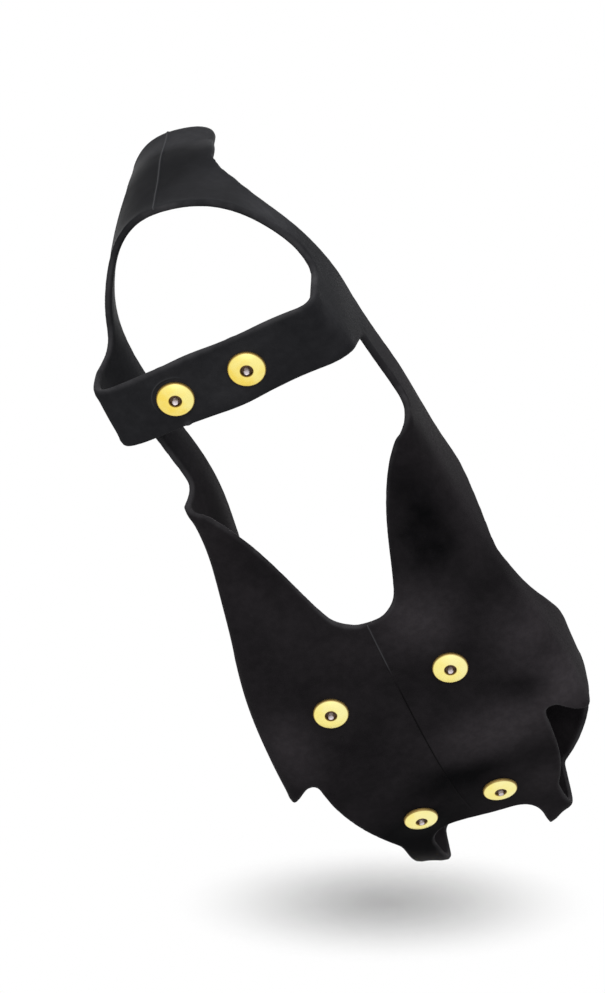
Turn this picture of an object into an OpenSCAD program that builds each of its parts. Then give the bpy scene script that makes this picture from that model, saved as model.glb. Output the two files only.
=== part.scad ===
// Pull-on ice cleat for a right shoe: one moulded rubber harness with six riveted carbide studs.
// Millimetres. The toe points to -Y, the wearer's inner side is +X, and the stud pins stand on Z = 0.

/* [Rubber form] */
// Length over the rubber, from the heel cup to the toe tabs
length = 282; // [273:1:295]
// Half of the width across the ball of the foot
ball_w = 57.2; // [54:0.2:61]
// Half-width of the heel on the inner side
heel_w_inner = 41.8; // [39:0.2:45]
// Half-width of the heel on the outer side
heel_w_outer = 43; // [41:0.5:47]
// Half-width of the waist on the inner side
waist_w_inner = 38.5; // [35:0.5:41]
// Half-width of the waist on the outer side
waist_w_outer = 46.5; // [43:0.5:49]
// Length of the rounded heel end
heel_l = 60; // [52:1:66]
// Length of the rounded toe end
toe_l = 70; // [64:1:76]
// Thickness of the rubber
wall = 2.4; // [2:0.1:3]
// Radius of the wrap round the edge of the sole
edge_r = 7; // [5:0.5:9]
// Height that the toe curls up at the toe studs
toe_spring = 4.4; // [2:0.2:7]
// Length of the curl behind the toe studs
curl_l = 27; // [22:1:40]
// Height that the waist rises above the forefoot
waist_rise = 10; // [6:0.5:13]
// Inward step of the wall above the sole's edge at the heel and toe ends
ledge_end = 4; // [1:0.5:5]
// Inward step of the wall above the sole's edge on the inner side
ledge_inner = 5.5; // [2:0.5:7]
// Inward step of the wall above the sole's edge on the outer side
ledge_outer = 0.5; // [0:0.5:3]
// Height of the crown over the toe
toe_top = 60; // [55:1:66]

/* [Heel cup] */
// Height of the pull tab above the ground
tab_top = 102; // [92:1:108]
// Width of the pull tab
tab_w = 31; // [26:1:36]
// Height of the upper edge of the side bands
band_top = 47; // [44:1:50]
// Height of the upper edge of the heel opening
heel_open_z = 34; // [30:1:36]
// Height of the lower edge of the side bands beside the heel
band_low = 29; // [25:1:31]

/* [Heel strap and waist] */
// Width of the strap under the heel
strap_w = 23; // [19:1:26]
// Forward rake of the strap's front edge on the wall
strap_rake = 7; // [3:1:9]
// Radius of the rounded end of the waist opening
waist_end_r = 13.4; // [11:0.2:15]
// Distance from the ball studs back to the waist opening
waist_gap = 28; // [24:1:33]
// Distance from the heel studs forward to the end of the waist opening on the wall
waist_reach = 48; // [44:1:52]
// Widening of the waist opening on each side, per length
waist_flare = 0.4; // [0.3:0.02:0.44]
// Height of the lowest point of the side dips
dip_z = 15.5; // [13:0.5:20]

/* [Toe windows] */
// Half-width of the front window
front_window_w = 20.8; // [17:0.2:23]
// Half-width of the web between the side windows
web_w = 43.2; // [41:0.2:46]
// Half-width over the two toe tabs
tab_reach = 32; // [30:0.5:35]
// Distance from the ball studs forward to the side windows
side_window_gap = 25.2; // [23:0.2:29]
// Forward slant of the side windows' rear edge, per width
side_window_slant = 1.05; // [0.6:0.05:1.4]
// Distance from the toe studs forward to the front window
front_window_gap = 13.5; // [12:0.5:15]
// Height of the windows' upper edge
window_top = 38; // [35:0.5:41]

/* [Studs] */
// Spacing of the two heel studs
heel_pitch = 25.7; // [22:0.1:30]
// Spacing of the two ball studs
ball_pitch = 45.7; // [40:0.1:52]
// Spacing of the two toe studs
toe_pitch = 31.2; // [28:0.1:34]
// Distance from the heel studs to the heel end
heel_stud_back = 50; // [47:0.5:53]
// Distance from the toe studs to the toe end
toe_stud_front = 34; // [31.5:0.5:37]
// Distance from the ball studs to the toe studs
ball_to_toe = 60.4; // [56:0.1:63]
// Diameter of the outer disc
disc_d = 12.5; // [11:0.1:14]
// Thickness of the disc at its rim
disc_rim = 0.9; // [0.6:0.1:1.4]
// Height of the disc's crown above its rim
disc_crown = 1.1; // [0.6:0.1:1.6]
// Diameter of the rivet shank
shank_d = 3.9; // [3.2:0.1:4.6]
// Depth of the shank's end below the disc's crown
shank_drop = 0.9; // [0.4:0.1:1.2]
// Diameter of the carbide pin
pin_d = 1.8; // [1.4:0.1:2.2]
// Height of the pin's tip above the disc's crown
pin_proud = 1; // [0.6:0.1:1.6]
// Depth of the pin in the rivet
pin_seat = 2.4; // [1.6:0.1:3]
// Diameter of the backing washer inside the rubber
washer_d = 14; // [12:0.5:16]
// Thickness of the backing washer
washer_t = 0.8; // [0.5:0.1:1.2]
// Diameter of the rivet's flange
flange_d = 9; // [7:0.5:11]
// Thickness of the rivet's flange
flange_t = 1; // [0.8:0.1:1.5]
// Height of the raised pads round each stud
pad_h = 0.5; // [0.3:0.1:0.8]
// Width of the pads' flat face beyond the disc and the washer
pad_margin = 1.5; // [1:0.1:2.5]
// Radial clearance between metal pieces
fit_gap = 0.05; // [0.02:0.01:0.1]
// Radial clearance of the rubber round the rivet
hole_gap = 0.2; // [0.1:0.05:0.4]

/* [Hidden] */
STUDS = ["heel_left", "heel_right", "ball_left", "ball_right", "toe_left", "toe_right"];
PIECES = ["disc", "rivet", "pin", "washer"];

$fn = 48;
cut_fn = 32;
far = 400;
eps = 0.01;

// The stud lies outside the rubber by its pad, disc and pin
disc_h = disc_rim + disc_crown;
stud_h = pad_h + disc_h + pin_proud;
sole_z = stud_h;
hole_d = shank_d + 2 * fit_gap;

function ease(t) = (1 - cos(180 * max(0, min(1, t)))) / 2;
function mix(a, b, t) = a + (b - a) * t;

// Part of the wall's inward step that is reached at a height
ledge_from = 20;
ledge_rise = 18;
function stepped(z) = ease((z - ledge_from) / ledge_rise);
function ledge(side) = side > 0 ? ledge_inner : ledge_outer;

// Stations along the foot: the sole's ends lie beyond the cup and the cap by the step in the wall,
// and the toe tabs stand a little before the cap
toe_end = -length / 2;
cup_end = length / 2;
toe_tab_proud = 1;
heel_y = cup_end + ledge_end * stepped(heel_open_z) - heel_l;
ball_y = toe_end + toe_tab_proud - ledge_end * stepped(window_top) + toe_l;
waist_shift = 39;
waist_y = (heel_y + ball_y) / 2 + waist_shift;
heel_stud_y = cup_end - heel_stud_back;
toe_stud_y = toe_end + toe_stud_front;
ball_stud_y = toe_stud_y + ball_to_toe;

// Sideways places of the stud rows, front window and pull tab, toe tabs, web and waist opening
stud_x = 2.75;
open_x = -0.75;
tab_x = 0.25;
web_x = 0.9;
waist_x = -2.6;

// Side-view lines that the openings share
strap_back = heel_stud_y + strap_w / 2;
strap_front = heel_stud_y - strap_w / 2;
waist_back = heel_stud_y - waist_reach;
waist_front = ball_stud_y + waist_gap;
window_back = ball_stud_y - side_window_gap;
cap_back = toe_stud_y + 1;

// Upper edge: the flare up to the pull tab and the dips at the sides
flare_from = heel_stud_y + 8;
flare_to = cup_end - 5;
flare_h = 28;
flare_power = 5;
dip_y = ball_stud_y + 29;
dip_back = 24;
dip_front = 95;

// The toe's windows are not quite even: set back, slant and turn
window_skew = 1.2;
slant_skew = -0.16;
front_window_turn = 6;

// Corner radii of the openings
tab_r = 6;
heel_open_r = 9;
waist_open_r = 5;
front_window_r = 10;
front_window_top_r = 6;
side_window_r = 3;

// Colours
rubber_colour = [0.13, 0.13, 0.13];
disc_colour = [0.96, 0.80, 0.30];
rivet_colour = [0.45, 0.44, 0.42];
pin_colour = [0.72, 0.70, 0.70];
washer_colour = [0.70, 0.70, 0.68];

// Underside of the rubber: flat at the heel and ball, raised at the waist, curled up as far as the toe studs
// and straight from there
function curl_run(y) = max(0, min(curl_l, toe_stud_y + curl_l - y));
function tangent(y) = 2 * toe_spring * curl_run(y) / pow(curl_l, 2);
function slope(y) = atan(tangent(y));
function curl(y) = tangent(y) * (curl_run(y) / 2 + max(0, toe_stud_y - y));
rise_run = 42;
fall_run = 12;
function rise(y) = waist_rise * ease((y - waist_front) / rise_run) * (1 - ease((y - waist_back) / fall_run));
function under(y) = sole_z + curl(y) + rise(y);

// Crown line: low over the toe and far above the tab at the heel
crown_heel = 190;
crown_cut = tab_top + 8;
crown_from = ball_y - 18;
crown_run = 150;
function crown(y) = mix(toe_top, crown_heel, ease((y - crown_from) / crown_run));

// Half-width of the plan outline between the two rounded ends
function half_w(y, side) =
    let (
        waist = side > 0 ? waist_w_inner : waist_w_outer,
        heel = side > 0 ? heel_w_inner : heel_w_outer
    )
    y > waist_y
        ? mix(waist, heel, ease((y - waist_y) / (heel_y - waist_y)))
        : mix(waist, ball_w, ease((waist_y - y) / (waist_y - ball_y)));

// A station is [y, signed end length, angle round that end]; the toe end is a little squarer than an oval
toe_steps = 16;
mid_steps = 26;
heel_steps = 16;
end_angle = 88;
toe_power = 2.3;
stations = concat(
    [for (i = [0:toe_steps - 1]) [ball_y, -toe_l, end_angle * (1 - i / toe_steps)]],
    [for (i = [0:mid_steps]) [mix(ball_y, heel_y, i / mid_steps), 0, 0]],
    [for (i = [1:heel_steps]) [heel_y, heel_l, end_angle * i / heel_steps]]
);

// Levels of a ring: the wrap round the sole edge, then the wall up to the crown
wrap_steps = 5;
wall_steps = 18;
levels = wrap_steps + wall_steps;
wall_bend = 34;
crown_power = 2.2;
crown_close = 0.97;

function crown_inset(z, top) =
    let (q = max(0, min(1, (z - wall_bend) / (top - wall_bend))))
    crown_close * (1 - pow(1 - pow(q, crown_power), 1 / crown_power));

function ring_point(station, level, side, off) =
    let (
        end = abs(station[1]),
        bend = 2 / (station[1] < 0 ? toe_power : 2),
        reach = pow(sin(station[2]), bend),
        spread = pow(cos(station[2]), bend),
        y0 = station[0] + station[1] * reach,
        r = edge_r - off,
        a = 90 * min(level, wrap_steps) / wrap_steps,
        base = under(station[0] + sign(station[1]) * (end - edge_r) * reach) + off,
        top = crown(y0) - off,
        f = max(0, level - wrap_steps) / wall_steps,
        z = level <= wrap_steps ? base + r * (1 - cos(a)) : mix(base + r, min(top, crown_cut), f),
        wrap = level <= wrap_steps ? r * (1 - sin(a)) : 0,
        step = level <= wrap_steps ? 0 : stepped(z),
        shrink = level <= wrap_steps ? 1 : 1 - crown_inset(z, top),
        x_inset = off + wrap + step * ledge(side),
        y_inset = off + wrap + step * ledge_end,
        x = (half_w(station[0], side) - x_inset) * shrink * spread,
        dy = sign(station[1]) * (end - y_inset) * shrink * reach
    )
    [side * x, station[0] + dy, z];

function ring(station, off) = concat(
    [for (k = [0:levels]) ring_point(station, k, 1, off)],
    [for (k = [levels:-1:0]) ring_point(station, k, -1, off)]
);

// Solid form that the rubber wraps, inset by off
module form(off) {
    n = 2 * (levels + 1);
    count = len(stations);
    points = [for (s = stations) each ring(s, off)];
    skin = [
        for (i = [0:count - 2]) for (j = [0:n - 1])
            let (a = i * n + j, b = i * n + (j + 1) % n)
            each [[a, b, b + n], [a, b + n, a + n]]
    ];
    toe_cap = [
        for (j = [0:levels - 1])
            let (a = j, b = n - 1 - j)
            each [[a, b - 1, a + 1], [a, b, b - 1]]
    ];
    last = (count - 1) * n;
    heel_cap = [
        for (j = [0:levels - 1])
            let (a = last + j, b = last + n - 1 - j)
            each [[a, a + 1, b - 1], [a, b - 1, b]]
    ];
    polyhedron(points, concat(skin, toe_cap, heel_cap), convexity = 10);
}

// Rounds both the inner and the outer corners of an outline
module soften(r) {
    offset(r = -r, $fn = cut_fn) offset(r = 2 * r, $fn = cut_fn) offset(r = -r, $fn = cut_fn) children();
}

// Cuts straight across the foot along an outline drawn in side view
module across() {
    rotate([90, 0, 90]) linear_extrude(height = far, center = true) children();
}

// Upper edge of the rubber in side view: level along the bands, dipped at the waist, flared up to the tab
function rim(y) =
    y > flare_from ? band_top + flare_h * pow((y - flare_from) / (flare_to - flare_from), flare_power) :
    y > dip_y ? mix(dip_z, band_top, ease((y - dip_y) / dip_back)) :
    mix(dip_z, toe_top, ease((dip_y - y) / dip_front));

// Everything above the rim: the mouth that the foot goes in by
module mouth() {
    steps = 60;
    edge = [for (i = [0:steps]) let (y = mix(cap_back, flare_to, i / steps)) [y, rim(y)]];
    across() polygon(concat(edge, [[flare_to, far], [cap_back, far]]));
}

// Back-view outline of the pull tab, which the mouth leaves standing
module tab_block() {
    translate([open_x, cup_end + heel_l / 2, 0]) rotate([90, 0, 0]) linear_extrude(height = heel_l)
        soften(tab_r) translate([-tab_w / 2, 0]) square([tab_w, tab_top]);
}

module above_tab() {
    translate([-far / 2, 0, tab_top]) cube([far, far, far]);
}

// Opening behind the strap, round the back of the heel
module heel_opening() {
    across() soften(heel_open_r) translate([strap_back, -far]) square([far, far + heel_open_z]);
}

// Opening between the strap and the side bands, and its rounded end in the forefoot web
module waist_opening() {
    overlap = waist_open_r;
    corner = 4.5;
    across() soften(waist_open_r) polygon([
        [strap_front, -far],
        [strap_front, sole_z + washer_t],
        [strap_front - strap_rake, band_low],
        [waist_back, band_low],
        [waist_back, under(waist_back) + corner],
        [waist_back - corner, under(waist_back)],
        [waist_back - corner, -far]
    ]);
    steps = 10;
    arc_steps = 14;
    power = 6;
    // Round end in the web, which runs on into the flaring sides
    end_y = waist_front + waist_end_r;
    flare_a = atan(waist_flare);
    flare_y = end_y - waist_end_r * sin(flare_a);
    run = waist_back - flare_y;
    arc = [
        for (i = [0:arc_steps])
            let (a = mix(flare_a - 180, -flare_a, i / arc_steps))
            [waist_x + waist_end_r * cos(a), end_y + waist_end_r * sin(a)]
    ];
    // Distance of the edge from the middle line: an even flare, then out to the wall
    function even_x(d, side) = side * waist_x + waist_end_r * cos(flare_a) + waist_flare * d;
    function wall_x(side) = half_w(waist_back, side) - wall - stepped(band_low) * ledge(side);
    function edge_x(d, side) = even_x(d, side) + (wall_x(side) - even_x(run, side)) * pow(d / run, power);
    inner = [for (i = [1:steps]) let (d = run * i / steps) [edge_x(d, 1), flare_y + d]];
    outer = [for (i = [steps:-1:1]) let (d = run * i / steps) [-edge_x(d, -1), flare_y + d]];
    close = [[wall_x(1), waist_back + overlap], [-wall_x(-1), waist_back + overlap]];
    linear_extrude(height = band_low - waist_open_r) polygon(concat(arc, inner, close, outer));
}

// Three windows round the edge of the toe
module toe_windows() {
    front_y = toe_stud_y - front_window_gap;
    web_fn = 96;
    // Front window
    intersection() {
        translate([open_x, front_y, 0]) rotate(front_window_turn) linear_extrude(height = far)
            soften(front_window_r) translate([-front_window_w, -far]) square([2 * front_window_w, far]);
        translate([open_x, 0, 0]) rotate([90, 0, 0]) linear_extrude(height = far)
            soften(front_window_top_r) translate([-front_window_w, -far])
                square([2 * front_window_w, far + window_top]);
    }
    // Side windows, outside the web's oval, behind the toe tabs and before a slanted rear edge
    intersection() {
        linear_extrude(height = far, center = true) soften(side_window_r) for (side = [-1, 1]) {
            slant = side_window_slant + side * slant_skew;
            difference() {
                intersection() {
                    translate([tab_x + side * (tab_reach + far / 2), 0])
                        square([far, 2 * far], center = true);
                    translate([web_x, window_back + side * window_skew]) scale([side, 1]) polygon([
                        [0, slant * web_w],
                        [far, slant * (web_w - far)],
                        [far, -2 * far],
                        [0, -2 * far]
                    ]);
                }
                translate([web_x, ball_y]) resize([2 * web_w, 2 * toe_l]) circle(d = 2 * web_w, $fn = web_fn);
            }
        }
        translate([-far, -far, -far]) cube([2 * far, 2 * far, far + window_top]);
    }
}

// Place of a stud: [x, y] on the sole, and its axis square to the rubber
function stud_place(name) =
    name == "heel_left" ? [heel_pitch / 2, heel_stud_y] :
    name == "heel_right" ? [-heel_pitch / 2, heel_stud_y] :
    name == "ball_left" ? [ball_pitch / 2, ball_stud_y] :
    name == "ball_right" ? [-ball_pitch / 2, ball_stud_y] :
    name == "toe_left" ? [toe_pitch / 2, toe_stud_y] : [-toe_pitch / 2, toe_stud_y];

// Puts a stud piece, drawn with its outward axis along +Z from the rubber's face, on the sole
module at_stud(name) {
    p = stud_place(name);
    translate([p[0] + stud_x, p[1], under(p[1])]) rotate([180 - slope(p[1]), 0, 0]) children();
}

// Raised pad with sloping sides, drawn from the rubber's face
module pad(d) {
    pad_slope = 3;
    root = wall / 4;
    skirt = pad_slope * (pad_h + root);
    translate([0, 0, -root]) cylinder(d1 = d + 2 * skirt, d2 = d, h = pad_h + root, $fn = cut_fn);
}

module rubber_harness() {
    hole_len = 4 * wall;
    color(rubber_colour) difference() {
        union() {
            difference() {
                form(0);
                form(wall);
                difference() {
                    mouth();
                    tab_block();
                }
                above_tab();
                heel_opening();
                waist_opening();
                toe_windows();
            }
            for (s = STUDS) at_stud(s) {
                pad(disc_d + 2 * pad_margin);
                translate([0, 0, -wall]) mirror([0, 0, 1]) pad(washer_d + 2 * pad_margin);
            }
        }
        for (s = STUDS) at_stud(s)
            cylinder(d = shank_d + 2 * hole_gap, h = hole_len, center = true, $fn = cut_fn);
    }
}

// Dished yellow disc, seated on the outer pad
module disc() {
    r = disc_d / 2;
    bevel = 0.25;
    color(disc_colour) translate([0, 0, pad_h]) rotate_extrude() polygon([
        [hole_d / 2, 0],
        [r, 0],
        [r, disc_rim - bevel],
        [r - bevel, disc_rim],
        [hole_d / 2 + 2 * bevel, disc_h],
        [hole_d / 2, disc_h - bevel]
    ]);
}

// Rivet: flange on the washer, shank through washer, rubber and disc, and a blind bore for the pin
module rivet() {
    back = -wall - pad_h - washer_t;
    tip = pad_h + disc_h - shank_drop;
    bore_r = pin_d / 2 + fit_gap;
    bevel = 0.3;
    color(rivet_colour) rotate_extrude() polygon([
        [0, back - flange_t],
        [flange_d / 2 - bevel, back - flange_t],
        [flange_d / 2, back - flange_t + bevel],
        [flange_d / 2, back],
        [shank_d / 2, back],
        [shank_d / 2, tip - bevel],
        [shank_d / 2 - bevel, tip],
        [bore_r, tip],
        [bore_r, tip - pin_seat],
        [0, tip - pin_seat]
    ]);
}

// Carbide pin with a blunt conical tip
module pin() {
    foot = pad_h + disc_h - shank_drop - pin_seat;
    r = pin_d / 2;
    cone = 0.35;
    color(pin_colour) rotate_extrude() polygon([
        [0, foot],
        [r, foot],
        [r, stud_h - cone],
        [r - cone, stud_h],
        [0, stud_h]
    ]);
}

// Flat washer between the rubber and the rivet's flange
module washer() {
    color(washer_colour) translate([0, 0, -wall - pad_h - washer_t]) difference() {
        cylinder(d = washer_d, h = washer_t);
        translate([0, 0, -eps]) cylinder(d = hole_d, h = washer_t + 2 * eps);
    }
}

module stud_piece(piece) {
    if (piece == "disc") disc();
    if (piece == "rivet") rivet();
    if (piece == "pin") pin();
    if (piece == "washer") washer();
}

rubber_harness();
for (s = STUDS) for (p = PIECES) at_stud(s) stud_piece(p);
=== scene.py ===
"""Looks of a pull-on ice cleat: a moulded rubber harness with six riveted studs.

The camera sees it from below and behind, as the photograph does.
"""

import math

import bmesh
import bpy
import numpy as np
from mathutils import Matrix, Vector
from mathutils.bvhtree import BVHTree


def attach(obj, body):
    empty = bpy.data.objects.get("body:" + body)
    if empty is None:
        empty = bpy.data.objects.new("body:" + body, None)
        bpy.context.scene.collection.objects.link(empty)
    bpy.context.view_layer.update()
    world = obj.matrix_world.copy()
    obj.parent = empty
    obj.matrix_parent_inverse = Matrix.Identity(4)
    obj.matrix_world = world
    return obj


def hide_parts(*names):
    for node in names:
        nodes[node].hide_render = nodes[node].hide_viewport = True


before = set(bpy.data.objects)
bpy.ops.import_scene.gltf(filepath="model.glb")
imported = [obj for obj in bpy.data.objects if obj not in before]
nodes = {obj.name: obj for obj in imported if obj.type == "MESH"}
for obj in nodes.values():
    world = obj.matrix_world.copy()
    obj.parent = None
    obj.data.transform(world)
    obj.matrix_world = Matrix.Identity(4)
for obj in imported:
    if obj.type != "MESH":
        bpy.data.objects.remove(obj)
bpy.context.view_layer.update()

MM = 0.001
STUDS = ("heel_left", "heel_right", "ball_left", "ball_right", "toe_left", "toe_right")

scene = bpy.context.scene
scene.view_settings.view_transform = "Standard"


# Places that the frame gives


def read(mesh, name):
    """A vector of each vertex, such as co or normal, as rows."""
    values = np.empty(len(mesh.vertices) * 3)
    mesh.vertices.foreach_get(name, values)
    return values.reshape(-1, 3)


def stud_axis(stud):
    """Middle of a stud's washer, and the axis that points out of the sole."""
    points = read(nodes[stud + "_washer"].data, "co")
    centre = (points.min(0) + points.max(0)) / 2
    axis = np.linalg.svd(points - centre)[2][2]
    return centre, axis if axis[2] < 0 else -axis


AXES = {stud: stud_axis(stud) for stud in STUDS}


def row_middle(row):
    return (AXES[row + "_left"][0] + AXES[row + "_right"][0]) / 2


HEEL = row_middle("heel")
BALL = row_middle("ball")


def from_row(row, x, y, z):
    """A point in metres, from millimetres across and along from a row's middle and up from the ground."""
    return (row[0] + x * MM, row[1] + y * MM, z * MM)


# Materials


class Nodes:
    """Short way to write a material's node tree."""

    NOISE_ENDS = (0.3, 0.7)

    def __init__(self, name):
        self.material = bpy.data.materials.new(name)
        self.material.use_nodes = True
        self.tree = self.material.node_tree
        self.tree.nodes.clear()
        self.output = self.tree.nodes.new("ShaderNodeOutputMaterial")
        self.place = self.add("TexCoord").outputs["Object"]

    def add(self, kind, inputs=None, **settings):
        node = self.tree.nodes.new("ShaderNode" + kind)
        for key, value in settings.items():
            setattr(node, key, value)
        for key, value in (inputs or {}).items():
            if isinstance(value, bpy.types.NodeSocket):
                self.tree.links.new(value, node.inputs[key])
            else:
                node.inputs[key].default_value = value
        return node

    def math(self, operation, a, b):
        return self.add("Math", {0: a, 1: b}, operation=operation).outputs[0]

    def span(self, value, low, high, to_low=0.0, to_high=1.0):
        inputs = {"Value": value, "From Min": low, "From Max": high, "To Min": to_low, "To Max": to_high}
        return self.add("MapRange", inputs, interpolation_type="SMOOTHSTEP").outputs[0]

    def blend(self, factor, a, b):
        colours = [c if isinstance(c, bpy.types.NodeSocket) else (*c, 1.0) for c in (a, b)]
        return self.add("Mix", {0: factor, 6: colours[0], 7: colours[1]}, data_type="RGBA").outputs[2]

    def noise(self, size, detail=3.0, roughness=0.55):
        """Noise whose features are about a size in millimetres."""
        inputs = {"Vector": self.place, "Scale": 1.0 / (size * MM), "Detail": detail, "Roughness": roughness}
        return self.add("TexNoise", inputs).outputs["Fac"]

    def vary(self, noise, to_low=0.0, to_high=1.0):
        """Noise spread over a range."""
        return self.span(noise, *self.NOISE_ENDS, to_low, to_high)

    def bump(self, height, depth):
        """Bump whose height of 1 stands for a depth in millimetres."""
        return self.add("Bump", {"Height": height, "Distance": depth * MM, "Strength": 1.0}).outputs[0]

    def spot(self, centre, reach):
        """1 at a point, falling to 0 at a reach in millimetres along each axis."""
        offset = self.add("VectorMath", {0: self.place, 1: centre}, operation="SUBTRACT").outputs["Vector"]
        size = [part * MM for part in reach]
        scaled = self.add("VectorMath", {0: offset, 1: size}, operation="DIVIDE").outputs["Vector"]
        apart = self.add("VectorMath", {0: scaled}, operation="LENGTH").outputs["Value"]
        return self.span(apart, 0.0, 1.0, 1.0, 0.0)

    def mark(self, name):
        """A value that the mesh carries at each vertex."""
        return self.add("Attribute", attribute_name=name).outputs["Fac"]

    def principled(self, **inputs):
        """Finishes the material with a shader whose inputs are named with _ for a space."""
        names = {key.replace("_", " "): value for key, value in inputs.items()}
        names["Base Color"] = names.pop("Colour")
        self.surface(self.add("BsdfPrincipled", names))
        return self.material

    def surface(self, shader):
        self.tree.links.new(shader.outputs[0], self.output.inputs["Surface"])


# Places where the rubber is paler or darker than elsewhere: point, reach in millimetres and strength
# The paler spots are dust and painted sheen, and the smallest, by a heel stud, is a painted highlight. The
# darker spots are painted shade.
DUST_SHEEN_AND_SHADE = (
    (from_row(BALL, -20, 23, 3.5), (24, 24, 14), 0.85),
    (from_row(BALL, -53, 0, 5.0), (24, 28, 18), 0.60),
    (from_row(BALL, -57, -26, 5.0), (19, 19, 14), 1.10),
    (from_row(BALL, -27, -33, 3.5), (38, 19, 12), 0.90),
    (from_row(BALL, -31, -66, 9.5), (13, 13, 12), 0.35),
    (from_row(BALL, 44, -9, 4.0), (18, 24, 12), 0.65),
    (from_row(BALL, 34, 76, 13.0), (16, 26, 18), 0.20),
    (from_row(BALL, 8, 21, 3.5), (15, 15, 10), 0.20),
    (from_row(BALL, -38, 52, 9.0), (17, 32, 16), -0.40),
    (from_row(BALL, -9, -47, 4.5), (30, 11, 10), -0.40),
    (from_row(BALL, 24, -74, 12.0), (34, 20, 24), -0.60),
    (from_row(BALL, 14, -62, 8.0), (48, 24, 18), -0.25),
    (from_row(BALL, -46, -21, 3.5), (12, 11, 10), -0.30),
    (from_row(HEEL, 0, 0, 4.0), (70, 30, 16), 0.25),
    (from_row(HEEL, -44.6, 2.4, 9.0), (5, 13, 9), 0.30),
    (from_row(HEEL, -4, -7, 3.5), (20, 6, 8), 0.15),
    (from_row(HEEL, -14, 6, 3.5), (16, 6, 8), 0.15),
    (from_row(HEEL, 13.7, -10.4, 4.0), (2.0, 2.0, 3.0), 0.80),
    (from_row(HEEL, 2, 48, 58.0), (28, 20, 34), -0.70),
    (from_row(HEEL, -4, 47, 76.0), (24, 16, 14), -0.50),
    (from_row(HEEL, -35, 29, 41.0), (14, 18, 14), 0.70),
    (from_row(HEEL, -8, 44, 100.0), (24, 14, 22), 0.35),
)
PLAIN_TONE = 0.40
CLOUD_TONE = 0.12
PALEST_TONE = 1.65
# How much paler up-facing rubber is: painted light from above
PAINTED_TOP_LIGHT = 0.60

# The rubber's colours, some of which change from forefoot to heel, where the paler, bluer colours are painted
# light on the heel cup
FORE_DARK = (0.0030, 0.0029, 0.0034)
HEEL_DARK = (0.0068, 0.0070, 0.0082)
FORE_PALE = (0.0640, 0.0567, 0.0625)
HEEL_PALE = (0.0616, 0.0618, 0.0673)
HEEL_FROM = 70 * MM
# Rims: paler with wear and a painted highlight
WORN_RIM_AND_HIGHLIGHT = (0.085, 0.083, 0.088)
# Seams: painted shade and painted highlight along the ridges
SEAM_SHADE = (0.0022, 0.0022, 0.0024)
SEAM_HIGHLIGHT = (0.110, 0.112, 0.120)


def rubber_material():
    """Matte black rubber: spots of dust, painted sheen and painted shade; painted light on up-facing faces
    and the heel; rims paler with wear and a painted highlight; seams with painted highlight and shade.
    """
    n = Nodes("rubber")
    xyz = n.add("SeparateXYZ", {0: n.place})
    cloud = n.noise(18, 5.0, 0.6)
    mottle = n.noise(3.0, 4.0, 0.65)
    speck = n.noise(0.8, 2.0, 0.6)
    grain = n.noise(0.5, 2.0)

    tone = n.vary(cloud, PLAIN_TONE - CLOUD_TONE, PLAIN_TONE + CLOUD_TONE)
    # Dust, painted sheen and painted shade in spots
    for centre, reach, strength in DUST_SHEEN_AND_SHADE:
        tone = n.math("ADD", tone, n.math("MULTIPLY", n.spot(centre, reach), strength))
    # Paler where the rubber faces up: painted light from above
    normal = n.add("SeparateXYZ", {0: n.add("NewGeometry").outputs["Normal"]})
    tone = n.math("ADD", tone, n.span(normal.outputs["Z"], -0.05, 0.6, 0.0, PAINTED_TOP_LIGHT))
    tone = n.math("MULTIPLY", tone, n.span(mottle, 0.3, 0.72, 0.84, 1.12))
    tone = n.math("ADD", tone, n.span(speck, 0.62, 0.80, 0.0, 0.10))
    tone = n.add("Clamp", {"Value": n.math("DIVIDE", tone, PALEST_TONE)}).outputs[0]

    # Paler and bluer towards the heel: painted light
    heel = n.span(xyz.outputs["Y"], float(BALL[1]) + HEEL_FROM, float(HEEL[1]))
    body = n.blend(tone, n.blend(heel, FORE_DARK, HEEL_DARK), n.blend(heel, FORE_PALE, HEEL_PALE))
    # Rims paler, unevenly along them, with wear and a painted highlight
    wear_and_highlight = n.math("MULTIPLY", n.span(n.mark("rim"), 0.3, 0.9), n.span(cloud, 0.35, 0.65, 0.15, 0.60))
    edged = n.blend(wear_and_highlight, body, WORN_RIM_AND_HIGHLIGHT)
    # Painted shade where the seam mark is below 0, painted highlight where it is above
    seam = n.mark("seam")
    shaded = n.blend(n.span(seam, 0.0, -1.0), edged, SEAM_SHADE)
    colour = n.blend(n.span(seam, 0.0, 1.0, 0.0, 0.75), shaded, SEAM_HIGHLIGHT)

    rough = n.math("ADD", n.vary(cloud, 0.58, 0.68), n.math("MULTIPLY", tone, 0.16))
    grained = n.bump(grain, 0.03)
    return n.principled(Colour=colour, Roughness=rough, Specular_IOR_Level=0.016, Normal=grained)


# The plating's colours, at the ball and the heel, and where it is dull and darkened by painted shade, as
# shares of a disc's radius
# The heel's oranger plating is a painted reflection
BALL_LEMON = (1.00, 0.92, 0.41)
HEEL_LEMON = (1.00, 0.88, 0.31)
BALL_ORANGE = (0.99, 0.86, 0.27)
HEEL_ORANGE = (0.97, 0.74, 0.13)
DULL_SHADED_BRASS = (0.23, 0.115, 0.022)
DULL_SHADED_RIM = (0.915, 0.975)
DULL_SHADED_HOLE = (0.345, 0.375)


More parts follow.
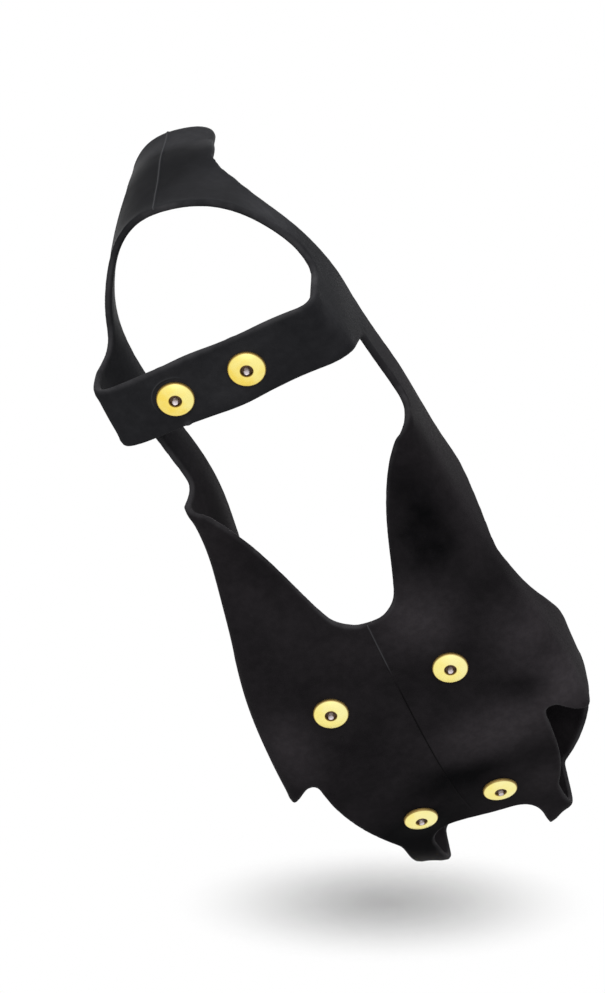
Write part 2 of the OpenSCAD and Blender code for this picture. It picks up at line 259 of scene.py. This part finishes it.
def disc_material():
    """Plated brass, lemon to orange across a disc as painted shade, oranger at the heel as a painted
    reflection, and dull and darkened by painted shade at its rim and round its hole.
    """
    n = Nodes("disc")
    xyz = n.add("SeparateXYZ", {0: n.place})
    cloud = n.noise(4, 3.0)
    fine = n.noise(0.35, 2.0)
    # Oranger towards the heel: painted reflection
    heel = n.span(xyz.outputs["Y"], float(BALL[1]), float(HEEL[1]))
    lemon = n.blend(heel, BALL_LEMON, HEEL_LEMON)
    orange = n.blend(heel, BALL_ORANGE, HEEL_ORANGE)
    # Lemon to orange across a disc: painted shade
    across = n.math("ADD", n.mark("across"), n.vary(cloud, -0.5, 0.5))
    plate = n.blend(n.span(across, -1.0, 1.1), lemon, orange)
    radius = n.mark("radius")
    # Dull plating and painted shade at the rim and round the hole
    dull_and_shade = n.math("MAXIMUM", n.span(radius, *DULL_SHADED_RIM), n.span(radius, *DULL_SHADED_HOLE, 1.0, 0.0))
    colour = n.blend(n.math("MULTIPLY", dull_and_shade, 0.85), plate, DULL_SHADED_BRASS)
    rough = n.math("ADD", n.vary(cloud, 0.30, 0.44), n.math("MULTIPLY", dull_and_shade, 0.2))
    return n.principled(Colour=colour, Metallic=0.85, Roughness=rough, Normal=n.bump(fine, 0.006))


def metal_material(name, colour, dark, roughness):
    """Metal mottled between a colour and a darker one."""
    n = Nodes(name)
    cloud = n.noise(1.4, 4.0)
    fine = n.noise(0.2, 2.0)
    return n.principled(
        Colour=n.blend(n.vary(cloud), dark, colour),
        Metallic=0.9,
        Roughness=n.vary(cloud, roughness, roughness + 0.2),
        Normal=n.bump(fine, 0.006),
    )


RUBBER = rubber_material()
DISC = disc_material()
RIVET = metal_material("rivet", (0.150, 0.090, 0.055), (0.060, 0.036, 0.022), 0.50)
PIN = metal_material("pin", (0.86, 0.78, 0.80), (0.62, 0.55, 0.57), 0.45)
WASHER = metal_material("washer", (0.62, 0.62, 0.60), (0.45, 0.45, 0.43), 0.32)


def new_object(name, mesh, material):
    obj = bpy.data.objects.new(name, mesh)
    scene.collection.objects.link(obj)
    mesh.materials.clear()
    mesh.materials.append(material)
    return obj


def mark(mesh, name, values):
    """Keeps a value of each vertex in the mesh, for its material."""
    mesh.attributes.new(name, "FLOAT", "POINT").data.foreach_set("value", values)


def new_piece(name, mesh, material, node):
    """A piece of the cleat that stands for a CAD node."""
    mesh.shade_smooth()
    obj = new_object(name, mesh, material)
    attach(obj, "root")
    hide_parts(node)


# Rubber

WELD = 0.001 * MM
VOXEL = 0.6 * MM
TINY = 1e-9


class Neighbours:
    """Averages values over the edges of a mesh."""

    LEAST_ALONG = 0.3

    def __init__(self, mesh):
        edges = np.empty(len(mesh.edges) * 2, dtype=np.int64)
        mesh.edges.foreach_get("vertices", edges)
        edges = edges.reshape(-1, 2)
        ends = np.concatenate([edges[:, 0], edges[:, 1]])
        order = np.argsort(ends, kind="stable")
        self.others = np.concatenate([edges[:, 1], edges[:, 0]])[order]
        self.counts = np.bincount(ends, minlength=len(mesh.vertices))
        self.starts = np.concatenate([[0], np.cumsum(self.counts)[:-1]])

    def smooth(self, values, rounds, weight=1.0):
        """Moves each value half way to the mean of its neighbours, again and again."""
        share = 0.5 * np.broadcast_to(weight, len(values))[:, None]
        for _ in range(rounds):
            mean = np.add.reduceat(values[self.others], self.starts, axis=0) / self.counts[:, None]
            values = values + share * (mean - values)
        return values

    def smooth_along(self, values, directions, rounds):
        """Moves each place half way to the mean of the neighbours along its direction, if it has one."""
        own = np.repeat(np.arange(len(values)), self.counts)
        for _ in range(rounds):
            steps = values[self.others] - values[own]
            lengths = np.maximum(np.linalg.norm(steps, axis=1), TINY)
            share = (np.einsum("ij,ij->i", steps, directions[own]) / lengths) ** 2
            total = np.add.reduceat(share, self.starts)
            mean = np.add.reduceat(share[:, None] * steps, self.starts, axis=0)
            enough = (total > self.LEAST_ALONG)[:, None]
            values = values + 0.5 * mean / np.maximum(total, TINY)[:, None] * enough
        return values


def write(mesh, places):
    mesh.vertices.foreach_set("co", places.ravel())
    mesh.update()


def welded(node):
    """A CAD node's mesh with its double vertices joined, as a bmesh."""
    work = bmesh.new()
    work.from_mesh(nodes[node].data)
    bmesh.ops.remove_doubles(work, verts=work.verts, dist=WELD)
    return work


def even_mesh(work):
    """Even quad mesh over a solid."""
    mesh = bpy.data.meshes.new("solid")
    work.to_mesh(mesh)
    holder = bpy.data.objects.new("solid", mesh)
    scene.collection.objects.link(holder)
    remesh = holder.modifiers.new("remesh", "REMESH")
    remesh.mode = "VOXEL"
    remesh.voxel_size = VOXEL
    graph = bpy.context.evaluated_depsgraph_get()
    even = bpy.data.meshes.new_from_object(holder.evaluated_get(graph))
    bpy.data.objects.remove(holder)
    bpy.data.meshes.remove(mesh)
    return even


def area(faces):
    return sum(face.calc_area() for face in faces)


def split_at_edges(work, angle):
    """The faces between sharp edges, as lists of faces, the largest first."""
    done = set()
    patches = []
    for seed in work.faces:
        if seed in done:
            continue
        done.add(seed)
        patch = [seed]
        for face in patch:
            for edge in face.edges:
                if len(edge.link_faces) != 2 or edge.calc_face_angle() > angle:
                    continue
                for other in edge.link_faces:
                    if other not in done:
                        done.add(other)
                        patch.append(other)
        patches.append(patch)
    return sorted(patches, key=area, reverse=True)


def tree_of(faces):
    """Search tree over faces."""
    corners = [vert.co for face in faces for vert in face.verts]
    sizes = [len(face.verts) for face in faces]
    polygons = [list(range(end - size, end)) for size, end in zip(sizes, np.cumsum(sizes))]
    return BVHTree.FromPolygons(corners, polygons)


class Sheet:
    """The rubber sheet as its outer and inner faces and the walls of its cut edges."""

    SHARP = math.radians(38)
    LEAST_WALL = 4 * MM * MM
    MOUTH_SLOPE = 1e-4
    MOUTH_LOW = 16 * MM
    END_STRIP = 3 * MM
    ROUNDING = 0.9 * MM
    REACH = 1.9 * MM
    STEPS = 4

    def __init__(self, work):
        outer, inner, *cuts = split_at_edges(work, self.SHARP)
        walls = [face for patch in cuts if area(patch) > self.LEAST_WALL for face in patch]
        walls += [face for face in outer + inner if self.at_mouth(face)]
        sides = [[face for face in side if not self.at_mouth(face)] for side in (outer, inner)]
        self.faces = [tree_of(side) for side in sides]
        self.walls = tree_of(walls)

    def at_mouth(self, face):
        """True for a wall of the mouth, which is cut straight across the foot."""
        centre = face.calc_center_median()
        level = abs(face.normal.x) < self.MOUTH_SLOPE and centre.z > self.MOUTH_LOW
        return level and (abs(centre.x) > self.END_STRIP or centre.y < 0)

    def height(self, tree, point):
        """Height of a point over the plane of the nearest face, and that face's normal."""
        spot, normal, _, _ = tree.find_nearest(point)
        return (point - spot).dot(normal), normal

    def rounded(self, place):
        """The place put on the sheet's rounded rim, and the rim's direction; None away from the rims."""
        point = Vector(place)
        if self.walls.find_nearest(point, self.REACH)[0] is None:
            return None
        for _ in range(self.STEPS):
            heights = [self.height(tree, point) for tree in self.faces]
            face, face_normal = max(heights, key=lambda pair: pair[0])
            wall, wall_normal = self.height(self.walls, point)
            a = max(face + self.ROUNDING, 0.0)
            b = max(wall + self.ROUNDING, 0.0)
            out = math.hypot(a, b)
            if out == 0.0:
                break
            point -= (out - self.ROUNDING) * (a * face_normal + b * wall_normal) / out
        return point, face_normal.cross(wall_normal).normalized()


# Rounds of smoothing: of the voxels' steps, along the rims, of the normals, of the rims' limits, of the faces
STEP_ROUNDS = 12
RIM_ROUNDS = 16
NORMAL_ROUNDS = 40
LIMIT_ROUNDS = 6
FACE_ROUNDS = 200

# How far the normals turn where smoothing stops, and where a vertex is all rim
CALM_TURN = 0.05
RIM_TURN = 0.5


def soften(mesh, sheet):
    """Rounds the sheet's rims and smooths the CAD facets away. Returns how much of a rim each vertex is."""
    near = Neighbours(mesh)
    places = near.smooth(read(mesh, "co"), STEP_ROUNDS)
    along = np.zeros_like(places)
    free = np.ones(len(places))
    for i, place in enumerate(places):
        found = sheet.rounded(place)
        if found is not None:
            places[i], along[i] = found
            free[i] = 0.0
    places = near.smooth(near.smooth_along(places, along, RIM_ROUNDS), 1)
    write(mesh, places)
    turn = 1.0 - np.linalg.norm(near.smooth(read(mesh, "normal"), NORMAL_ROUNDS), axis=1)
    calm = np.clip(1.0 - turn / CALM_TURN, 0.0, 1.0)
    free = near.smooth(free[:, None], LIMIT_ROUNDS)[:, 0]
    write(mesh, near.smooth(places, FACE_ROUNDS, calm * free))
    return np.clip(turn / RIM_TURN, 0.0, 1.0)


# Small forms of the worn rubber: point, reach along each axis, and shift, in millimetres
NUDGES = (
    (from_row(HEEL, -1, -10, 4.5), (18, 6, 6), (0, -1.4, 0)),
    (from_row(HEEL, 13.7, -10, 4.0), (1.8, 2.4, 3), (0, -0.55, -0.3)),
    (from_row(HEEL, 8, 10.5, 4.5), (11, 4, 6), (0, 0.3, -0.9)),
    (from_row(HEEL, -19, 41, 74), (8, 12, 14), (-1.5, 0.4, 0)),
)
WAVE = 0.25 * MM
WAVE_LENGTHS = (47 * MM, 33 * MM, 61 * MM)
STUD_CLEAR = 16 * MM
STUD_HOLD = 2.0


def reach_of(places, centre, reach):
    """1 at a point, falling to 0 at a reach along each axis."""
    apart = np.linalg.norm((places - centre) / reach, axis=1)
    return np.clip(1.0 - apart**2, 0.0, 1.0) ** 2


def slacken(places):
    """Small forms of worn rubber, and a slight wave that stays away from the studs."""
    turns = [2 * math.pi * np.roll(places, k + 1, axis=1) / length for k, length in enumerate(WAVE_LENGTHS)]
    wave = np.stack([np.sin(turn).sum(1) for turn in turns], 1)
    held = sum(reach_of(places, centre, STUD_CLEAR) for centre, _ in AXES.values())
    places = places + WAVE * wave * (1.0 - np.clip(STUD_HOLD * held, 0.0, 1.0))[:, None]
    for centre, reach, shift in NUDGES:
        places = places + reach_of(places, centre, np.array(reach) * MM)[:, None] * np.array(shift) * MM
    return places


# Thin ridges: seams down the forefoot and down tab and heel cup, and a crease by the left heel stud
SEAM_H = 0.45 * MM
SEAM_W = 0.38 * MM
SEAM_FIELD = 1.3 * MM
SEAM_CUTS = 3
FACING = 0.5

# The forefoot's seam, in millimetres from the ball row; bend, rise and tone, painted shade towards the toe
# and painted highlight towards the heel, change over a length along it
SOLE_ENDS = (-80, 34)
SOLE_X = -1.65
SOLE_BEND = -2.8
SOLE_BEND_FROM, SOLE_BEND_LENGTH = -53.9, 80
SOLE_RISE_FROM, SOLE_RISE_LENGTH = -70, 16
SOLE_TONE_FROM, SOLE_TONE_LENGTH = 4, 10
SOLE_TONES = (-0.8, 0.7)

# The seam down tab and heel cup, with a painted highlight along it
CUP_X = -3.65 * MM
CUP_LOW = 33 * MM
CUP_RISE = 0.7
CUP_TONE = 0.6

# The crease round the left heel stud, with a painted highlight on one side
CREASE_AT, CREASE_AXIS = (Vector(part) for part in AXES["heel_left"])
CREASE_R = 7.7 * MM
CREASE_SIDE = Vector((0.53, 0.85, 0.0))
CREASE_RISE = 0.7
CREASE_TONE = 0.5


def clip(value, low=0.0, high=1.0):
    return min(max(value, low), high)


def sole_seam(co, normal):
    """Distance from the forefoot's seam, its height there and its painted highlight (above 0) and painted
    shade (below 0); None away from it.
    """
    x, y = (co.x - BALL[0]) / MM, (co.y - BALL[1]) / MM
    if normal.z > -FACING or not SOLE_ENDS[0] < y < SOLE_ENDS[1]:
        return None
    bend = clip((y - SOLE_BEND_FROM) / SOLE_BEND_LENGTH)
    rise = clip((y - SOLE_RISE_FROM) / SOLE_RISE_LENGTH)
    tone = clip((y - SOLE_TONE_FROM) / SOLE_TONE_LENGTH, *SOLE_TONES)
    return (x - SOLE_X - SOLE_BEND * bend**2) * MM, rise, rise * tone


def cup_seam(co, normal):
    """The same of the seam down tab and heel cup."""
    if normal.y < FACING or co.z < CUP_LOW:
        return None
    return co.x - HEEL[0] - CUP_X, CUP_RISE, CUP_TONE


def stud_crease(co, normal):
    """The same of the crease that the washer presses into one side of the strap."""
    if normal.z > -FACING or abs(co.x - CREASE_AT.x) > 2 * CREASE_R:
        return None
    offset = co - CREASE_AT
    offset -= offset.dot(CREASE_AXIS) * CREASE_AXIS
    rise = max(offset.normalized().dot(CREASE_SIDE), 0.0)
    return offset.length - CREASE_R, CREASE_RISE * rise, CREASE_TONE * rise


def raise_seams(mesh):
    """Raises the ridges in strips of finer mesh, and marks their painted highlight and painted shade."""
    work = bmesh.new()
    work.from_mesh(mesh)
    work.normal_update()
    line = work.verts.layers.float.new("seam")
    for seam in (sole_seam, cup_seam, stud_crease):
        field = []
        for face in work.faces:
            place = seam(face.calc_center_median(), face.normal)
            if place is not None and abs(place[0]) < SEAM_FIELD:
                field.append(face)
        edges = list(dict.fromkeys(edge for face in field for edge in face.edges))
        bmesh.ops.subdivide_edges(work, edges=edges, cuts=SEAM_CUTS, use_grid_fill=True)
        work.normal_update()
        for vert in work.verts:
            place = seam(vert.co, vert.normal)
            if place is None or abs(place[0]) > SEAM_FIELD:
                continue
            apart, rise, tone = place
            height = math.exp(-((apart / SEAM_W) ** 2))
            vert.co += vert.normal * float(SEAM_H * rise * height)
            vert[line] = height**2 * tone
    work.to_mesh(mesh)
    work.free()


solid = welded("rubber_harness")
rubber_mesh = even_mesh(solid)
mark(rubber_mesh, "rim", soften(rubber_mesh, Sheet(solid)))
solid.free()
write(rubber_mesh, slacken(read(rubber_mesh, "co")))
raise_seams(rubber_mesh)
new_piece("rubber", rubber_mesh, RUBBER, "rubber_harness")


# Studs


def lathe(name, profile, stud, segments):
    """Mesh turned from a closed profile of (radius, height) round a stud's axis, outward from its washer."""
    centre, axis = AXES[stud]
    turn = Vector((0, 0, 1)).rotation_difference(Vector(axis)).to_matrix().to_4x4()
    place = Matrix.Translation(Vector(centre)) @ turn
    work = bmesh.new()
    rings = []
    for radius, height in profile:
        angles = [2 * math.pi * i / segments for i in range(segments)] if radius > 0 else [0.0]
        points = [Vector((radius * math.cos(a), radius * math.sin(a), height)) for a in angles]
        rings.append([work.verts.new(place @ p) for p in points])
    if len(rings[0]) > 1:
        rings.append(rings[0])
    for low, high in zip(rings, rings[1:]):
        for i in range(segments):
            j = (i + 1) % segments
            corners = (low[i % len(low)], low[j % len(low)], high[j % len(high)], high[i % len(high)])
            work.faces.new(list(dict.fromkeys(corners)))
    bmesh.ops.recalc_face_normals(work, faces=work.faces)
    mesh = bpy.data.meshes.new(name)
    work.to_mesh(mesh)
    work.free()
    return mesh


def stud_range(stud, piece):
    """Lowest and highest place along the stud's axis, and the largest radius, of a CAD piece."""
    centre, axis = AXES[stud]
    offset = read(nodes[f"{stud}_{piece}"].data, "co") - centre
    along = offset @ axis
    across = np.linalg.norm(offset - along[:, None] * axis, axis=1)
    return along.min(), along.max(), across.max()


CORNER_STEPS = 5


def rounded(corners):
    """Profile points of (radius, height), from corners of (radius, height, rounding)."""
    profile = []
    for i, (r, h, rounding) in enumerate(corners):
        if rounding == 0:
            profile.append((r, h))
            continue
        corner = np.array((r, h))
        before = np.array(corners[i - 1][:2]) - corner
        after = np.array(corners[(i + 1) % len(corners)][:2]) - corner
        start = rounding * before / np.linalg.norm(before)
        end = rounding * after / np.linalg.norm(after)
        for t in np.linspace(0.0, 1.0, CORNER_STEPS + 1):
            profile.append(tuple(corner + (1 - t) ** 2 * start + t**2 * end))
    return profile


HOLE_R = 2.0 * MM
SHANK_R = 1.95 * MM
BORE_R = 0.95 * MM
BORE = 2.4 * MM
FLANGE = 1.0 * MM
DISC_RIM = 0.9 * MM
DOME_TOP_R = 2.6 * MM
DOME_STEPS = 8
HOLE_DROP = 0.1 * MM

# Roundings of edges
FINE = 0.1 * MM
DISC_BACK = 0.12 * MM
DISC_FRONT = 0.4 * MM
HOLE_EDGE = 0.3 * MM
FLANGE_BACK = 0.35 * MM
SHANK_END = 0.3 * MM
PIN_TIP = 0.45 * MM
WASHER_EDGE = 0.2 * MM


def disc_profile(low, high, radius):
    """Dished disc: flat back, rolled rim, a face that rises evenly to the crown, and a rolled hole."""
    corners = [(HOLE_R, low, 0.0), (radius, low, DISC_BACK), (radius, low + DISC_RIM, DISC_FRONT)]
    for t in np.linspace(0.0, 1.0, DOME_STEPS + 2)[1:-1]:
        r = radius + (DOME_TOP_R - radius) * t
        corners.append((r, low + DISC_RIM + (high - low - DISC_RIM) * math.sin(math.pi / 2 * t), 0.0))
    corners += [(DOME_TOP_R, high, FINE), (HOLE_R, high - HOLE_DROP, HOLE_EDGE)]
    return rounded(corners)


def rivet_profile(low, high, radius):
    """Flange inside the rubber, shank, and the bore that holds the pin."""
    return [(0.0, low)] + rounded(
        [
            (radius, low, FLANGE_BACK),
            (radius, low + FLANGE, FINE),
            (SHANK_R, low + FLANGE, 0.0),
            (SHANK_R, high, SHANK_END),
            (BORE_R, high, FINE),
            (BORE_R, high - BORE, 0.0),
        ]
    ) + [(0.0, high - BORE)]


def pin_profile(low, high, radius):
    return [(0.0, low)] + rounded([(radius, low, FINE), (radius, high, PIN_TIP)]) + [(0.0, high)]


def washer_profile(low, high, radius):
    outside = [(radius, low, WASHER_EDGE), (radius, high, WASHER_EDGE)]
    return rounded([(HOLE_R, low, FINE), *outside, (HOLE_R, high, FINE)])


# Direction across a disc in which the plating turns from lemon to orange: painted shade
SHADE_SIDE = np.array((0.95, -0.30, 0.0))

STUD_PIECES = (
    ("disc", disc_profile, DISC, 96),
    ("rivet", rivet_profile, RIVET, 64),
    ("pin", pin_profile, PIN, 40),
    ("washer", washer_profile, WASHER, 64),
)


def mark_plating(mesh, stud, widest):
    """Marks how far towards the painted shade and how far out each vertex of a disc lies."""
    centre, axis = AXES[stud]
    offset = read(mesh, "co") - centre
    mark(mesh, "across", offset @ SHADE_SIDE / widest)
    mark(mesh, "radius", np.linalg.norm(np.cross(offset, axis), axis=1) / widest)


for stud in STUDS:
    for piece, profile, material, segments in STUD_PIECES:
        name = f"{stud}.{piece}"
        low, high, widest = stud_range(stud, piece)
        mesh = lathe(name, profile(low, high, widest), stud, segments)
        if piece == "disc":
            mark_plating(mesh, stud, widest)
        new_piece(name, mesh, material, f"{stud}_{piece}")


# Camera, at the photograph's viewing angle

IMAGE_W = 605
IMAGE_H = 993
FOCAL_PX = 2600
SENSOR = 36.0
RIGHT = Vector((-0.90003, -0.4358, -0.00475))
DOWN = Vector((0.36783, -0.75373, -0.5446))
AHEAD = Vector((0.23376, -0.4919, 0.83869))
EYE = Vector(from_row(HEEL, -208.75, 371.39, -718.79))

camera_data = bpy.data.cameras.new("camera")
camera_data.sensor_fit = "VERTICAL"
camera_data.sensor_height = SENSOR
camera_data.lens = SENSOR * FOCAL_PX / IMAGE_H
camera = bpy.data.objects.new("camera", camera_data)
scene.collection.objects.link(camera)
camera.matrix_world = Matrix.Translation(EYE) @ Matrix((RIGHT, -DOWN, -AHEAD)).transposed().to_4x4()
scene.camera = camera


# Light

AMBIENT = 0.35
LAMP_AIM = Vector((0, 0, 30 * MM))


def white_world():
    """White where it is seen, straight or in a reflection, and a plain ambient light otherwise."""
    world = bpy.data.worlds.new("world")
    world.use_nodes = True
    tree = world.node_tree
    tree.nodes.clear()
    path = tree.nodes.new("ShaderNodeLightPath")
    seen = path.outputs["Is Camera Ray"]
    for ray in ("Is Glossy Ray", "Is Transmission Ray"):
        either = tree.nodes.new("ShaderNodeMath")
        either.operation = "MAXIMUM"
        tree.links.new(seen, either.inputs[0])
        tree.links.new(path.outputs[ray], either.inputs[1])
        seen = either.outputs[0]
    level = tree.nodes.new("ShaderNodeMapRange")
    level.inputs["To Min"].default_value = AMBIENT
    tree.links.new(seen, level.inputs["Value"])
    back = tree.nodes.new("ShaderNodeBackground")
    back.inputs["Color"].default_value = (1.0, 1.0, 1.0, 1.0)
    tree.links.new(level.outputs[0], back.inputs["Strength"])
    out = tree.nodes.new("ShaderNodeOutputWorld")
    tree.links.new(back.outputs[0], out.inputs["Surface"])
    return world


def area_lamp(name, direction, distance, size, level):
    """Round lamp in a direction from the cleat; at level 1 a white face turned to it renders white."""
    data = bpy.data.lights.new(name, "AREA")
    data.shape = "DISK"
    data.size = size
    data.energy = level * math.pi**2 * distance**2
    obj = bpy.data.objects.new(name, data)
    scene.collection.objects.link(obj)
    away = Vector(direction).normalized()
    turn = away.to_track_quat("Z", "Y").to_matrix().to_4x4()
    obj.matrix_world = Matrix.Translation(LAMP_AIM + away * distance) @ turn


scene.world = white_world()
area_lamp("overhead", -DOWN, distance=1.6, size=2.0, level=0.7)
area_lamp("front", -AHEAD - 0.25 * DOWN, distance=1.8, size=1.2, level=0.4)
area_lamp("top", (0.15, -0.2, 1.0), distance=1.6, size=1.3, level=0.4)


# Floors: a pale one that the pins stand on, and below it a small grey one, turned to the camera. Its own grey
# tone is a painted shadow that makes most of the dark patch under the toe, and the cleat's real shadow on it
# is the rest.

LAYER_STEP = 0.05 * MM
FLOOR_GRAIN = 0.02


def floor_material(name, level, glow, cover, clear_from, clear_to):
    """Floor seen only from the side it faces, fading out away from its middle."""
    n = Nodes(name)
    apart = n.add("VectorMath", {0: n.place}, operation="LENGTH").outputs["Value"]
    fade = n.span(apart, clear_from, clear_to, 1.0 - cover, 1.0)
    clear = n.math("MAXIMUM", fade, n.add("NewGeometry").outputs["Backfacing"])
    tone = n.blend(n.noise(4), (level,) * 3, (level + FLOOR_GRAIN,) * 3)
    face = n.add("BsdfDiffuse", {"Color": tone})
    lift = n.add("Emission", {"Strength": glow})
    lit = n.add("AddShader", {0: face.outputs[0], 1: lift.outputs[0]})
    n.surface(n.add("MixShader", {0: clear, 1: lit.outputs[0], 2: n.add("BsdfTransparent").outputs[0]}))
    return n.material


def floor(name, place, material, size, layers=1):
    """Square floor. Several thin layers leave no edge where a faint floor fades out."""
    corners = ((-size, -size), (size, -size), (size, size), (-size, size))
    points = [(x, y, -i * LAYER_STEP) for i in range(layers) for x, y in corners]
    mesh = bpy.data.meshes.new(name)
    mesh.from_pydata(points, [], [range(4 * i, 4 * i + 4) for i in range(layers)])
    obj = new_object(name, mesh, material)
    obj.matrix_world = place
    obj.visible_shadow = False
    obj.visible_diffuse = False
    obj.visible_glossy = False
    obj.visible_transmission = False


def sight(u, v):
    """Direction in which the camera sees a place in the image."""
    return AHEAD + RIGHT * ((u - IMAGE_W / 2) / FOCAL_PX) + DOWN * ((v - IMAGE_H / 2) / FOCAL_PX)


FLOOR_SIZE = 0.9

pale = floor_material("floor", level=0.88, glow=0.12, cover=1.0, clear_from=0.4, clear_to=FLOOR_SIZE)
floor("floor", Matrix.Identity(4), pale, FLOOR_SIZE)

SHADOW_AT = (384, 903)
SHADOW_Z = -32 * MM
SHADOW_TILT = math.radians(24)
SHADOW_LENGTH = 2.0
SHADOW_SIZE = 38 * MM
SHADOW_LAYERS = 5
SHADOW_LEVEL = 0.36
SHADOW_COVER = 0.24
SHADOW_CLEAR_FROM = -9 * MM

ray = sight(*SHADOW_AT)
shadow_middle = EYE + ray * ((SHADOW_Z - EYE.z) / ray.z)
shadow_up = -DOWN * math.cos(SHADOW_TILT) - AHEAD * math.sin(SHADOW_TILT)
shadow_axes = Matrix((RIGHT * SHADOW_LENGTH, shadow_up.cross(RIGHT), shadow_up)).transposed().to_4x4()
shadow_place = Matrix.Translation(shadow_middle) @ shadow_axes
# The grey floor's own tone: painted shadow
grey = floor_material("shadow_floor", SHADOW_LEVEL, 0.0, SHADOW_COVER, SHADOW_CLEAR_FROM, SHADOW_SIZE)
floor("shadow_floor", shadow_place, grey, SHADOW_SIZE, SHADOW_LAYERS)
